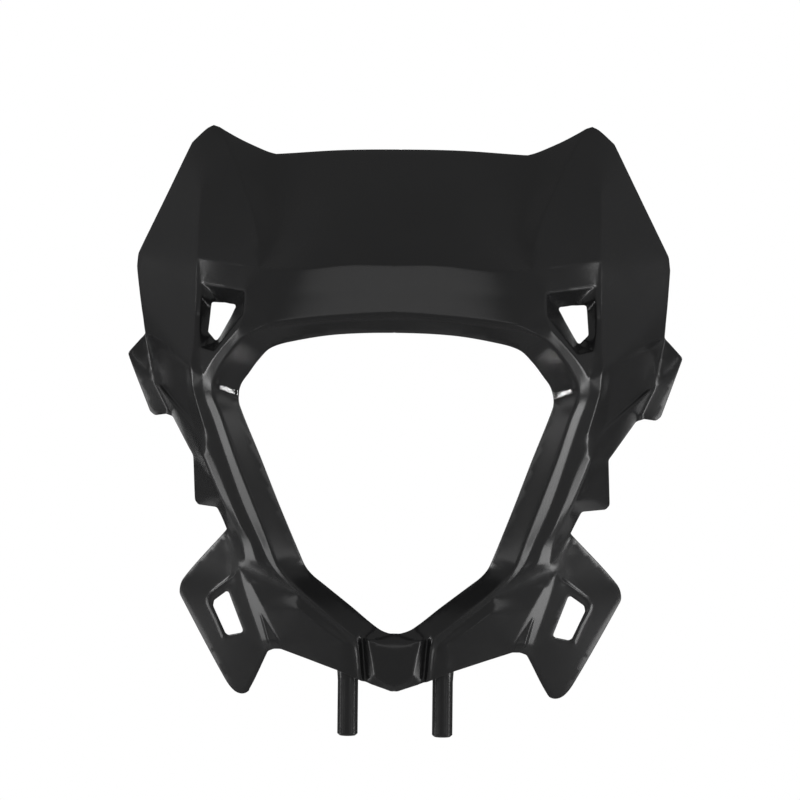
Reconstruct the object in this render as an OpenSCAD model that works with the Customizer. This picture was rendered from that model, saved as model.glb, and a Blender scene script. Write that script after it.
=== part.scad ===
// Headlight cowl for an off-road motorbike: one moulded plastic mask.
// x runs to the side, -y is the front, z is up.
// The origin is midway between the lower ends of the two pegs.

/* [Overall size] */
// Width across the two fork tabs
cowl_w = 281; // [240:1:320]
// Height from the peg ends to the horn tips
cowl_h = 300; // [260:1:340]
// Wall thickness of the moulding
wall = 2.6; // [2:0.1:3.4]

/* [Pegs] */
// Diameter of a peg
peg_d = 10; // [8:0.1:12]
// Distance between the peg centres
peg_gap = 46.5; // [42:0.5:50]
// Height of the root of a peg behind the chin
peg_h = 42; // [38:1:44]
// Length of a peg that fits its grommet
peg_free = 27; // [20:0.5:27]
// Bevel at the lower end of a peg
peg_bevel = 0.9; // [0.3:0.1:1.5]

/* [Lamp screw bosses] */
// Sideways distance between the bosses
boss_x = 152; // [151:0.5:153]
// Distance between the upper and the lower bosses
boss_z = 58; // [57:0.5:60]
// Height of the middle of the four bosses
boss_mid = 157; // [156.5:0.5:157.5]
// Diameter of a boss
boss_d = 8.4; // [7:0.1:9]
// Diameter of the screw hole in a boss
screw_d = 3.4; // [2.8:0.1:4]
// Depth of the screw hole
screw_deep = 8; // [6:0.5:8]

/* [Colour] */
// Colour of the plastic
plastic = "#1d1d1f";

/* [Hidden] */
sx = cowl_w / 281;
sz = cowl_h / 300;

// Every point below is [out from the middle, height, back], for one half.
// Two marks apart in a line are joined straight; panels lie between lines.

// edge of the lamp opening, from the top middle to the bottom middle
opening = [[0,196.5,-38], [27,195.5,-37.5], [47,192.5,-35], [59.5,189,-32],
    [66,183,-29], [71,176.5,-26], [74.5,171.5,-23.5], [76,165.5,-21.5],
    [75.5,161,-21.3], [66,136.5,-14.8], [57,112.5,-8], [46.5,86,1],
    [44.5,82,1.5], [41,78,1.5], [36.5,74.5,1], [22,63.5,-2], [8.5,53,-4],
    [3,51,-4.5], [0,51,-4.5]];

// inner side of the bevelled ridge round the lamp
ridge_in = [[0,203.5,-47], [27,202,-46.5], [44,200.5,-45.5], [60,198.5,-43.5],
    [71,195,-40.5], [80,185.5,-34.5], [87,175,-30], [88,170.5,-29],
    [87.5,165,-28], [84,156,-26], [77.5,136,-20.5], [68.5,111.5,-13.5],
    [59.5,87,-7], [56.5,81,-6.5], [47.5,71.5,-7.5], [28,55.5,-10]];
// where the ridge turns down beside the chin lip
ridge_end = [19,48.5,-11];
chin_in = [ridge_end, [17.7,44,-11.5], [16.4,31,-10], [16,27.5,-9.5]];

// outer side of the bevelled ridge
ridge_out = [[0,205.5,-48], [27,204,-47.5], [44,202.5,-46.5], [60,200.5,-44.5],
    [74.5,199,-38.5], [87,184.5,-31], [93,175.5,-26.5], [93.5,171.5,-25.5],
    [92.5,165.5,-24.5], [89.5,157.5,-22.5], [83,137,-17], [75.5,114.5,-10],
    [67,95,-5], [62.5,84.5,-3.5], [55.5,76,-4.6], [47.5,69,-6.2],
    [28,52.5,-8.5], [23,47.5,-9.2]];
chin_out = [[20,44,-9.5], [18.2,31,-8.6], [17.5,28,-8.2]];

// raised lip in the middle of the chin: groove, foot and edge of its face
groove = [[16,48.5,-8], [14.6,31,-7], [14,27,-7]];
lip_foot = [[14.6,48.3,-9.5], [12.6,31,-9], [11.5,26,-8.5], [1.7,22.6,-8.5],
    [0,22.5,-8.5]];
lip_face = [[12.8,48,-12.5], [10.8,40.5,-13], [9.4,33,-13], [9,30.5,-12.8],
    [4,26.8,-12.5], [0,26,-12.5]];
lip_mid = [[0,49.3,-12.5], [0,38,-13], [0,26,-12.5]];

// fold between the screen and the shelf over the lamp
fold = [[0,229,-44], [22,229,-43.5], [41.5,227,-42], [56,226.5,-38.5],
    [65.5,227.5,-34], [74,228.5,-28], [83,230,-22], [98.3,233.5,-11.5]];

// screen, from the fold up to the top edge
screen_low = [[0,243,-35], [25,242.5,-34], [43,241.5,-31], [57,241,-24.5]];
screen_mid = [[0,265,-20], [30,264,-17.5], [60,262,-9]];
top_edge = [[0,287.5,-2], [30,287.5,0], [62,285.5,5.5]];

// crease down the front of the horn, from its tip to the fold
horn = [[90.5,298.8,7.5], [81.8,282,-3], [74.5,265,-13], [70.5,255,-19],
    [66.5,241,-27.5]];
horn_tip = [[93.5,299.8,8], [97,298,8.5], [104.5,291.5,11]];

// upright crease between the front and the cheek
cheek_top = [[98,267,-3], [98.2,250,-8]];
cheek_mid = [[98.5,221.5,-12.5], [98.7,205,-14.5], [99,190,-19]];
neck = [[99.8,179.5,-23], [98.7,169,-23], [93.2,150,-19]];
// inner side of the bevel down the flank
flank_in = [[91,139.5,-16], [86.7,129.5,-13.5], [81.3,114.5,-8.8],
    [76.5,102.5,-5.6], [71.5,94,-3.8], [68.5,85,-2.4]];
// outer side of the bevel down the flank
flank_out = [[94.5,136.5,-12.3], [90.3,125.5,-9], [86.4,116,-6], [81.5,106,-3.2],
    [76.6,94,0.2], [75,85,2.6]];

// mouth of the window scoop
scoop = [[72,216.5,-35.5], [72.5,205,-37.5], [87.5,187,-29.5], [96,189,-20.5],
    [96.3,205,-14.5], [96,220.5,-13.5], [83.5,218.5,-24]];
// the window at the back of the scoop
window = [[77.5,210,-18.5], [82.5,201.5,-17], [88,192,-15], [92.5,197,-12],
    [92,204,-9.5], [91.5,211.5,-8], [84.5,211.2,-13]];

// outer edge of the cheek
cheek_edge = [[118,264.5,15], [132,236.5,18], [132.8,230,18.5], [132,213,29]];
// rim of the sunk panel in the cheek
sunk_rim = [[131.2,199.5,36.5], [117,189.8,11.5], [103.5,179.8,-11.5],
    [98.9,149.5,-6], [112,160.5,14], [122.5,169.5,33]];
// floor of the sunk panel
sunk_floor = [[131,197,39.5], [117.5,187.8,15.5], [105.3,178,-6],
    [101,153,-0.5], [112,162.3,18], [121.5,170.5,36]];
// line where the cheek bends into the fork tab
bend = [[126.5,173,40], [120.3,159,43]];
fork_tab = [[140.3,187,41], [130,157.5,52], [127.5,155.5,51], [121.5,156.3,46]];
tab_low = [[117.5,155,42], [103.5,136,19]];
// small tab at the bottom of the side wall
small_tab = [[104.5,113,35], [102.5,111,33.5], [90.5,110.5,14]];

// ear with the strap slot
ear = [[85,99.8,11], [108.3,74.3,24.5], [110.5,67.5,27], [108.7,63,27.5],
    [87,24,27], [82.5,18.5,26.5], [78.4,17,25], [75,18.5,23],
    [64.3,39.5,12.5]];
slot = [[84.5,69.5,13], [92.2,63.8,18.2], [92.8,61,19.2], [86.5,47.5,19.7],
    [85,46.5,19.2], [76.5,48.5,14.8], [79,55,14.2]];
// edge of the flare where the ear leaves the chin
flare_out = [[78.3,81.3,6.5], [76,71.4,8], [72,59,9.4], [67,44.5,11]];
flare_in = [[72,73.4,4.4], [67,64,3.8], [64.2,58.7,3.6], [57.5,46,3.6]];
notch = [[60.9,41,8.5], [57.2,41.3,5.5]];

// crease across the chin panel and its lower edge
chin_crease = [[47,61.5,-6.4], [33.5,51.5,-8.6], [24,45.5,-9.6]];
chin_edge = [[43,37,-1], [28.6,32.5,-7.2]];

// ---- panels: each is the surface between two lines ----
function span(a, b) = norm(a - b);
// signed area of a triangle seen from the front
function turn(a, b, c) = (b[0] - a[0]) * (c[1] - a[1])
    - (c[0] - a[0]) * (b[1] - a[1]);
// side of line a that line b lies on
function side_of(a, b) = sign(
    add([for (i = [0 : len(a) - 2]) turn(a[i], b[0], a[i + 1])])
    + add([for (j = [0 : len(b) - 2]) turn(a[len(a) - 1], b[j], b[j + 1])]));
function add(v, i = 0) = i >= len(v) ? 0 : v[i] + add(v, i + 1);
// triangles between line a and line b: each step closes the shorter gap
// that doesn't fold the panel over
function zip(a, b) = steps(a, b, side_of(a, b), 0, 0);
function steps(a, b, s, i, j) =
    (i == len(a) - 1 && j == len(b) - 1) ? [] :
    let (can_a = i < len(a) - 1, can_b = j < len(b) - 1,
        ok_a = can_a && s * turn(a[i], b[j], a[i + 1]) >= 0,
        ok_b = can_b && s * turn(a[i], b[j], b[j + 1]) >= 0,
        short_a = can_a && can_b
            && span(a[i + 1], b[j]) <= span(a[i], b[j + 1]))
    (!can_b || (can_a && (ok_a && !ok_b || ok_a == ok_b && short_a)))
    ? concat([[a[i], b[j], a[i + 1]]], steps(a, b, s, i + 1, j))
    : concat([[a[i], b[j], b[j + 1]]], steps(a, b, s, i, j + 1));
// part of a line
function cut(a, i, j) = [for (k = [i : j]) a[k]];
// a line closed on itself
function loop(a) = concat(a, [a[0]]);

panels = concat(
    // bezel wall, ridge bevel, groove and chin lip
    zip(opening, concat(ridge_in, [ridge_end, groove[0], lip_foot[0],
        lip_face[0], lip_mid[0]])),
    zip(concat(ridge_in, chin_in), concat(ridge_out, chin_out)),
    zip(chin_in, groove),
    zip(groove, cut(lip_foot, 0, 2)),
    zip(lip_foot, lip_face),
    zip(lip_face, lip_mid),
    // shelf over the lamp
    zip(cut(ridge_out, 0, 3), cut(fold, 0, 3)),
    zip(concat([ridge_out[3]], cut(fold, 3, 5)),
        [ridge_out[4], scoop[1], scoop[0]]),
    zip(concat(cut(fold, 5, 7), [cheek_mid[0]]),
        [scoop[0], scoop[6], scoop[5]]),
    zip([scoop[5], scoop[4], scoop[3]], cheek_mid),
    zip(cut(ridge_out, 4, 6), [scoop[1], scoop[2], scoop[3], cheek_mid[2]]),
    // scoop walls down to the window
    zip(loop(scoop), loop(window)),
    // screen
    zip(cut(fold, 0, 3), screen_low),
    zip(screen_low, screen_mid),
    zip(screen_mid, top_edge),
    // inner and outer face of the horn
    zip(concat([fold[3]], [screen_low[3], screen_mid[2], top_edge[2]]),
        [fold[4], horn[4], horn[3], horn[2], horn[1], horn[0]]),
    zip([horn_tip[0], horn_tip[1], horn_tip[2], cheek_top[0], cheek_top[1],
        fold[7]], concat(horn, cut(fold, 4, 6))),
    // cheek
    zip(concat([horn_tip[2]], cheek_edge, cut(sunk_rim, 0, 2)),
        concat(cheek_top, [fold[7]], cheek_mid, [neck[0]])),
    zip(neck, cut(sunk_rim, 2, 3)),
    zip([neck[2], flank_in[0]], [sunk_rim[3], flank_out[0]]),
    // sunk panel: bevel, floor, and the fork tab
    zip(sunk_rim, sunk_floor),
    zip([sunk_floor[0], sunk_floor[1], sunk_floor[2]],
        [bend[0], sunk_floor[5], sunk_floor[4], sunk_floor[3]]),
    zip([sunk_floor[5], bend[0]], [sunk_rim[5], bend[0]]),
    zip(concat([sunk_floor[0]], bend), concat(fork_tab, [tab_low[0]])),
    // below the sunk panel
    zip([sunk_rim[3], sunk_rim[4], sunk_rim[5], bend[0], bend[1]],
        [flank_out[0], tab_low[1], tab_low[0]]),
    // flank, its bevel and the side wall
    zip(cut(ridge_out, 6, 13), concat([cheek_mid[2]], neck, flank_in)),
    zip(flank_in, flank_out),
    zip(cut(flank_out, 0, 2), concat([tab_low[1]], small_tab)),
    zip(cut(flank_out, 2, 5), [small_tab[2], ear[0]]),
    // ear round its slot
    [[flank_out[5], ear[0], flare_out[0]]],
    zip(concat(ear, [flare_out[3], flare_out[2], flare_out[1], flare_out[0],
        ear[0]]), loop(slot)),
    zip(concat(flare_out, [ear[8]]), concat([flare_out[0]], flare_in)),
    [[flare_in[3], ear[8], notch[0]], [flare_in[3], notch[0], notch[1]]],
    // chin
    zip(cut(ridge_out, 13, 15), [flank_in[5], flank_out[5], flare_out[0],
        flare_in[0], flare_in[1], chin_crease[0]]),
    zip(concat(cut(ridge_out, 15, 17), [chin_out[0]]),
        concat(chin_crease, [chin_out[0]])),
    zip([flare_in[1], flare_in[2], flare_in[3], notch[1], chin_edge[0],
        chin_edge[1], chin_out[2]],
        concat(chin_crease, chin_out))
);

// ---- from panels to one closed wall ----
function key(p) = round(p[0] * 10) * 1e8 + round(p[1] * 10) * 1e4
    + round(p[2] * 10) + 5000;
raw_keys = [for (t = panels) for (p = t) key(p)];
raw_points = [for (t = panels) for (p = t) p];
firsts = [for (i = [0 : len(raw_keys) - 1])
    if (search(raw_keys[i], raw_keys, 1)[0] == i) i];
half = [for (i = firsts) raw_points[i]];
half_keys = [for (i = firsts) raw_keys[i]];
n = len(half);
function id(p) = search(key(p), half_keys, 1)[0];
tri = [for (t = panels)
    let (a = id(t[0]), b = id(t[1]), c = id(t[2]))
    if (a != b && b != c && a != c)
        turn(t[0], t[1], t[2]) > 0 ? [a, c, b] : [a, b, c]];
// direction of a panel: x, z and y parts
function facing(t) = let (d = cross(half[t[1]] - half[t[0]],
    half[t[2]] - half[t[0]])) d[2] < 0 ? -d : d;
facings = [for (t = tri) facing(t)];
function sum(v, i = 0) = i >= len(v) ? [0, 0, 0] : v[i] + sum(v, i + 1);
// how far back the rear face lies at each point, for an even wall
back_by = [for (i = [0 : n - 1])
    let (s = sum([for (k = [0 : len(tri) - 1])
        if (tri[k][0] == i || tri[k][1] == i || tri[k][2] == i) facings[k]]))
    wall / max(0.42, s[2] / norm(s))];
codes = [for (t = tri) each [t[0] * 1000 + t[1], t[1] * 1000 + t[2],
    t[2] * 1000 + t[0]]];
rims = [for (c = codes)
    let (a = floor(c / 1000), b = c % 1000)
    if (len(search(b * 1000 + a, codes)) == 0
        && !(half[a][0] == 0 && half[b][0] == 0)) [a, b]];

function at(p, side, back) = [side * p[0] * sx, p[2] + back, p[1] * sz];
skin_points = concat(
    [for (p = half) at(p, 1, 0)],
    [for (i = [0 : n - 1]) at(half[i], 1, back_by[i])],
    [for (p = half) at(p, -1, 0)],
    [for (i = [0 : n - 1]) at(half[i], -1, back_by[i])]);
// a point in the middle belongs to both halves
function left(i) = half[i][0] == 0 ? i : i + 2 * n;
function left_back(i) = half[i][0] == 0 ? i + n : i + 3 * n;
skin_faces = concat(
    tri,
    [for (t = tri) [t[2] + n, t[1] + n, t[0] + n]],
    [for (t = tri) [left(t[2]), left(t[1]), left(t[0])]],
    [for (t = tri) [left_back(t[0]), left_back(t[1]), left_back(t[2])]],
    [for (r = rims) each [[r[1], r[0], r[0] + n], [r[1], r[0] + n, r[1] + n]]],
    [for (r = rims) each [[left(r[0]), left(r[1]), left_back(r[0])],
        [left_back(r[0]), left(r[1]), left_back(r[1])]]]);

// the moulded mask itself
module skin() {
    color(plastic) polyhedron(points = skin_points, faces = skin_faces);
}

// one peg, turned to its true round form: a bevelled lower end, a straight
// shank, a slight flare above it and a shoulder hidden behind the chin
module peg() {
    r = peg_d / 2;
    color(plastic)
        rotate_extrude($fn = 64)
            polygon([[0, 0], [r - peg_bevel, 0], [r, peg_bevel],
                [r, peg_free], [r + 0.4, 33], [r + 1, 34], [r + 1, peg_h],
                [0, peg_h]]);
}

// web that ties a peg to the back of the chin
module peg_web() {
    color(plastic)
        translate([-2, 0, 0]) rotate([90, 0, 90])
            linear_extrude(height = 4)
                polygon([[-5, 35], [-6.5, 37], [-8.2, 41], [-7.8, 45.5],
                    [0, 50], [0, 35]]);
}

// screw boss for the lamp: its free end is level with the others, and its
// root is cut to the slope of the wall it stands on
module boss(root, slope = [0, 0, 0]) {
    color(plastic)
        translate([0, -4, 0])
            difference() {
                rotate([90, 0, 0])
                    cylinder(d = boss_d, h = root + 12, $fn = 48);
                rotate([90, 0, 0]) translate([0, 0, -1])
                    cylinder(d = screw_d, h = screw_deep + 1, $fn = 32);
                translate([0, -root, 0]) rotate(slope)
                    translate([-20, -40, -20]) cube(40);
            }
}

module cowl() {
    union() {
        skin();
        for (s = [-1, 1]) {
            translate([s * peg_gap / 2, 0, 0]) { peg(); peg_web(); }
            translate([s * boss_x / 2, 0, boss_mid + boss_z / 2])
                boss(27.9, [24, 0, -20 * s]);
            translate([s * boss_x / 2, 0, boss_mid - boss_z / 2]) boss(9.9);
        }
    }
}

cowl();
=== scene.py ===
import math
import bpy
import numpy as np
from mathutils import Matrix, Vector
from mathutils.geometry import delaunay_2d_cdt
from mathutils.kdtree import KDTree


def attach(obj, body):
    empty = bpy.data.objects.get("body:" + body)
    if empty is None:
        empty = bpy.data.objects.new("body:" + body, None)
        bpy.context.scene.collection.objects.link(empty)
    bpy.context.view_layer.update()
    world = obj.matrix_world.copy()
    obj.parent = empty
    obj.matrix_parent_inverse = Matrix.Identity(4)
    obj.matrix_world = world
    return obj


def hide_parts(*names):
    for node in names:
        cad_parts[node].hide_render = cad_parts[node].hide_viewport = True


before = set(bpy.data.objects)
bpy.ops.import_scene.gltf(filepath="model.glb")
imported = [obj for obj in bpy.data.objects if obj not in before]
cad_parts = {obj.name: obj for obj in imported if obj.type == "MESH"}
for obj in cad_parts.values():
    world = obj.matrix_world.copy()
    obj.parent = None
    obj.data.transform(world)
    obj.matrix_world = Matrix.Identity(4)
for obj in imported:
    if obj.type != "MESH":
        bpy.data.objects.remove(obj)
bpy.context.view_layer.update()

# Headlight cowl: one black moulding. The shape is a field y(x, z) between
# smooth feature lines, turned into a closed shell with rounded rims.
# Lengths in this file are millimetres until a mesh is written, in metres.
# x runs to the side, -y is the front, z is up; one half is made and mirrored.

# ------------------------------------------------------------ feature lines
# every point is [out from the middle, height, back]
opening = [[0,196.5,-38],[27,195.5,-37.5],[47,192.5,-35],[59.5,189,-32],
    [66,183,-29],[71,176.5,-26],[74.5,171.5,-23.5],[76,165.5,-21.5],
    [75.5,161,-21.3],[66,136.5,-14.8],[57,112.5,-8],[46.5,86,1],
    [44.5,82,1.5],[41,78,1.5],[36.5,74.5,1],[22,63.5,-2],[8.5,53,-4],
    [3,51,-4.5],[0,51,-4.5]]
bezel_in = [[0,203.5,-47],[27,202,-46.5],[44,200.5,-45.5],[60,198.5,-43.5],
    [71,195,-40.5],[80,185.5,-34.5],[87,175,-30],[88,170.5,-29],
    [87.5,165,-28],[84,156,-26],[77.5,136,-20.5],[68.5,111.5,-13.5],
    [59.5,87,-7],[56.5,81,-6.5],[47.5,71.5,-7.5],[28,55.5,-10],
    [19,48.5,-11],[17.7,44,-11.5],[16.4,31,-10],[16,27.5,-9.5]]
bezel_out = [[0,205.5,-48],[27,204,-47.5],[44,202.5,-46.5],[60,200.5,-44.5],
    [74.5,199,-38.5],[87,184.5,-31],[93,175.5,-26.5],[93.5,171.5,-25.5],
    [92.5,165.5,-24.5],[89.5,157.5,-22.5],[83,137,-17],[75.5,114.5,-10],
    [67,95,-5],[62.5,84.5,-3.5],[55.5,76,-4.6],[47.5,69,-6.2],
    [28,52.5,-8.5],[23,47.5,-9.2],[20,44,-9.5],[18.2,31,-8.6],[17.5,28,-8.2]]
groove = [[16,48.5,-8],[14.6,31,-7],[14,27,-7]]
lip_foot = [[14.6,48.3,-9.5],[12.6,31,-9],[11.5,26,-8.5],[1.7,22.6,-8.5],
    [0,22.5,-8.5]]
lip_face = [[12.8,48,-12.5],[10.8,40.5,-13],[9.4,33,-13],[9,30.5,-12.8],
    [4,26.8,-12.5],[0,26,-12.5]]
lip_mid = [[0,49.3,-12.5],[0,38,-13],[0,26,-12.5]]
fold = [[0,229,-44],[22,229,-43.5],[41.5,227,-42],[56,226.5,-38.5],
    [65.5,227.5,-34],[74,228.5,-28],[83,230,-22],[98.3,233.5,-11.5]]
screen_low = [[0,243,-35],[25,242.5,-34],[43,241.5,-31],[57,241,-24.5]]
screen_mid = [[0,265,-20],[30,264,-17.5],[60,262,-9]]
top_edge = [[0,287.3,-2],[30,287,0],[62,285.3,5.5]]
horn = [[90.5,298.8,7.5],[81.8,282,-3],[74.5,265,-13],[70.5,255,-19],
    [66.5,241,-27.5]]
horn_tip = [[93.5,299.8,8],[97,298,8.5],[104.5,291.5,11]]
cheek = [[98,267,-3],[98.2,250,-8],[98.3,233.5,-11.5],[98.5,221.5,-12.5],
    [98.7,205,-14.5],[99,190,-19],[99.8,179.5,-23],[98.7,169,-23],
    [93.2,150,-19]]
cheek_edge = [[118,264.5,15],[132,236.5,18],[132.8,230,18.5],[132,213,29]]
flank_in = [[91,139.5,-16],[86.7,129.5,-13.5],[81.3,114.5,-8.8],
    [76.5,102.5,-5.6],[71.5,94,-3.8],[68.5,85,-2.4]]
flank_out = [[94.5,136.5,-12.3],[90.3,125.5,-9],[86.4,116,-6],[81.5,106,-3.2],
    [76.6,94,0.2],[75,85,2.6]]
scoop = [[72,216.5,-35.5],[72.5,205,-37.5],[87.5,187,-29.5],[96,189,-20.5],
    [96.3,205,-14.5],[96,220.5,-13.5],[83.5,218.5,-24]]
window = [[77.5,210,-18.5],[82.5,201.5,-17],[88,192,-15],[92.5,197,-12],
    [92,204,-9.5],[91.5,211.5,-8],[84.5,211.2,-13]]
sunk_rim = [[131.2,199.5,36.5],[117,189.8,11.5],[103.5,179.8,-11.5],
    [98.9,149.5,-6],[112,160.5,14],[122.5,169.5,33]]
sunk_floor = [[131,197,39.5],[117.5,187.8,15.5],[105.3,178,-6],
    [101,153,-0.5],[112,162.3,18],[121.5,170.5,36]]
bend = [[126.5,173,42.5],[120.3,159,47.5]]
fork_tab = [[140.3,187,40.5],[130,157.5,51.5],[127.5,155.5,51],[121.5,156.3,49.5]]
tab_low = [[117.5,155,47],[103.5,136,19]]
small_tab = [[104.5,113,35],[102.5,111,33.5],[90.5,110.5,14]]
ear = [[85,99.8,11],[108.3,74.3,24],[110.5,67.5,26.3],[108.7,63,26.8],
    [87,24,26],[82.5,18.5,25.2],[78.4,17,23.7],[75,18.5,21.7],[64.3,39.5,11.5]]
slot = [[84.5,69.5,12.7],[92.2,63.8,17.9],[92.8,61,18.8],[86.5,47.5,19.2],
    [85,46.5,18.6],[76.5,48.5,14],[79,55,13.6]]
flare_out = [[78.3,81.3,6.5],[76,71.4,8],[72,59,9.2],[67,44.5,10.6]]
flare_in = [[72,73.4,4.2],[67,64,3.5],[64.2,58.7,3.2],[57.5,46,3.1]]
notch = [[60.9,41,7.8],[57.2,41.3,4.9]]
chin_crease = [[47,61.5,-6.6],[33.5,51.5,-8.8],[24,45.5,-9.7]]
chin_edge = [[43,37,-1.6],[28.6,32.5,-7.2]]


class Line:
    """A feature line: smooth through its points, with corners where asked."""

    def __init__(self, pts, corners=(), mid_start=False, mid_end=False,
                 straight=False, step=1.0):
        p = np.array(pts, float)
        n = len(p)
        if straight:
            corners = range(n)
        seg = p[1:] - p[:-1]
        length = np.linalg.norm(seg, axis=1)
        arrive, leave = np.zeros_like(p), np.zeros_like(p)
        for i in range(n):
            if 0 < i < n - 1:
                if i in corners:
                    arrive[i] = seg[i - 1] / length[i - 1]
                    leave[i] = seg[i] / length[i]
                else:
                    t = p[i + 1] - p[i - 1]
                    arrive[i] = leave[i] = t / np.linalg.norm(t)
            elif i == 0:
                t = seg[0].copy()
                if mid_start:
                    t[1:] = 0
                leave[i] = t / np.linalg.norm(t)
            else:
                t = seg[-1].copy()
                if mid_end:
                    t[1:] = 0
                arrive[i] = t / np.linalg.norm(t)
        out, self.at = [p[0]], [0]
        for i in range(n - 1):
            m = max(1, int(round(length[i] / step)))
            for k in range(1, m + 1):
                s = k / m
                s2, s3 = s * s, s * s * s
                out.append((2 * s3 - 3 * s2 + 1) * p[i]
                           + (s3 - 2 * s2 + s) * length[i] * leave[i]
                           + (3 * s2 - 2 * s3) * p[i + 1]
                           + (s3 - s2) * length[i] * arrive[i + 1])
            self.at.append(len(out) - 1)
        self.p = np.array(out)

    def __call__(self, i=0, j=None):
        """Points from mark i to mark j."""
        j = len(self.at) - 1 if j is None else j
        a, b = self.at[i], self.at[j]
        return self.p[a:b + 1] if a <= b else self.p[b:a + 1][::-1]


L_open = Line(opening, mid_start=True, mid_end=True)
L_in = Line(bezel_in, corners=(16,), mid_start=True)
L_out = Line(bezel_out, corners=(4, 17), mid_start=True)
L_groove = Line(groove)
L_foot = Line(lip_foot, corners=(2, 3))
L_face = Line(lip_face, corners=(3, 4))
L_mid = Line(lip_mid)
L_fold = Line(fold, mid_start=True)
L_low = Line(screen_low, mid_start=True)
L_smid = Line(screen_mid, mid_start=True)
L_top = Line(top_edge, mid_start=True)
L_horn = Line(horn)
L_tip = Line(horn_tip)
L_brow = Line([top_edge[2], [66,286.5,4.5], [71,288.6,5], [79,292.3,6],
    [86,296.1,7], horn[0]], corners=(0,))
L_cheek = Line(cheek, corners=(6,))
L_cedge = Line(cheek_edge, straight=True)
L_fin = Line(flank_in)
L_fout = Line(flank_out)
L_scoop = Line(scoop + [scoop[0]], straight=True)
L_win = Line(window + [window[0]], straight=True)
L_rim = Line(sunk_rim + [sunk_rim[0]], straight=True)
L_floor = Line(sunk_floor + [sunk_floor[0]], straight=True)
L_bend = Line(bend)
L_tab = Line(fork_tab, straight=True)
L_tlow = Line(tab_low)
L_stab = Line(small_tab, straight=True)
L_ear = Line(ear)
L_slot = Line(slot + [slot[0]], straight=True)
L_flo = Line(flare_out)
L_fli = Line(flare_in)
L_notch = Line(notch)
L_ccr = Line(chin_crease)
L_ced = Line(chin_edge)


def pt(v):
    return np.array([v], float)


def chain(*parts):
    c = np.concatenate([np.atleast_2d(q) for q in parts])
    keep = np.r_[True, np.linalg.norm(np.diff(c, axis=0), axis=1) > 1e-6]
    return c[keep]


def turn(a, b, c):
    return (b[0] - a[0]) * (c[1] - a[1]) - (b[1] - a[1]) * (c[0] - a[0])


def zip_lines(a, b):
    """Triangles between two lines, never folded over in the x-z plane."""
    a, b = [tuple(v) for v in a], [tuple(v) for v in b]
    s = (sum(turn(a[i], b[0], a[i + 1]) for i in range(len(a) - 1))
         + sum(turn(a[-1], b[j], b[j + 1]) for j in range(len(b) - 1)))
    s = 1 if s > 0 else -1
    i = j = 0
    out = []
    while i < len(a) - 1 or j < len(b) - 1:
        can_a, can_b = i < len(a) - 1, j < len(b) - 1
        if can_a and can_b:
            ok_a = s * turn(a[i], b[j], a[i + 1]) > 0
            ok_b = s * turn(a[i], b[j], b[j + 1]) > 0
            if ok_a == ok_b:
                take_a = math.dist(a[i + 1], b[j]) <= math.dist(a[i], b[j + 1])
            else:
                take_a = ok_a
        else:
            take_a = can_a
        if take_a:
            out.append((a[i], b[j], a[i + 1]))
            i += 1
        else:
            out.append((a[i], b[j], b[j + 1]))
            j += 1
    return out


tris = []


def panel(a, b):
    tris.extend(zip_lines(a, b))


panel(L_open(), chain(L_in(0, 16), pt(groove[0]), pt(lip_foot[0]),
                      pt(lip_face[0]), pt(lip_mid[0])))
panel(L_in(), L_out())
panel(L_in(16, 19), L_groove())
panel(L_groove(), L_foot(0, 2))
panel(L_foot(), L_face())
panel(L_face(), L_mid())
panel(L_out(0, 3), L_fold(0, 3))
panel(chain(L_out(3, 3), L_fold(3, 5)),
      chain(L_out(4, 4), L_scoop(1, 0)))
panel(chain(L_fold(5, 7), L_cheek(2, 3)), L_scoop(7, 5))
panel(L_scoop(5, 3), L_cheek(3, 5))
panel(L_out(4, 6), chain(L_scoop(1, 3), L_cheek(5, 5)))
panel(L_scoop(), L_win())
panel(L_fold(0, 3), L_low())
panel(L_low(), L_smid())
panel(L_smid(), L_top())
panel(chain(L_fold(3, 3), L_low(3, 3), L_smid(2, 2), L_top(2, 2)),
      chain(L_fold(4, 4), L_horn(4, 0)))
panel(chain(L_tip(), L_cheek(0, 2)), chain(L_horn(), L_fold(4, 6)))
panel(chain(L_tip(2, 2), L_cedge(), L_rim(0, 2)), L_cheek(0, 6))
panel(L_cheek(6, 8), L_rim(2, 3))
panel(chain(L_cheek(8, 8), L_fin(0, 0)), chain(L_rim(3, 3), L_fout(0, 0)))
panel(L_rim(), L_floor())
panel(L_floor(0, 2), chain(L_bend(0, 0), L_floor(5, 3)))
panel(chain(L_floor(5, 5), L_bend(0, 0)), chain(L_rim(5, 5), L_bend(0, 0)))
panel(chain(L_floor(0, 0), L_bend()), chain(L_tab(), L_tlow(0, 0)))
panel(chain(L_rim(3, 5), L_bend()), chain(L_fout(0, 0), L_tlow(1, 0)))
panel(L_out(6, 13), chain(L_cheek(5, 8), L_fin()))
panel(L_fin(), L_fout())
panel(L_fout(0, 2), chain(L_tlow(1, 1), L_stab()))
panel(L_fout(2, 5), chain(L_stab(2, 2), L_ear(0, 0)))
tris.append((tuple(flank_out[5]), tuple(ear[0]), tuple(flare_out[0])))
panel(chain(L_ear(), L_flo(3, 0), L_ear(0, 0)), L_slot())
panel(chain(L_flo(), L_ear(8, 8)), chain(L_flo(0, 0), L_fli()))
tris.append((tuple(flare_in[3]), tuple(ear[8]), tuple(notch[0])))
tris.append((tuple(flare_in[3]), tuple(notch[0]), tuple(notch[1])))
panel(L_out(13, 15), chain(L_fin(5, 5), L_fout(5, 5), L_flo(0, 0),
                           L_fli(0, 1), L_ccr(0, 0)))
panel(L_out(15, 18), chain(L_ccr(), L_out(18, 18)))
panel(chain(L_fli(1, 3), L_notch(1, 1), L_ced(), L_out(20, 20)),
      chain(L_ccr(), L_out(18, 20)))

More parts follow.
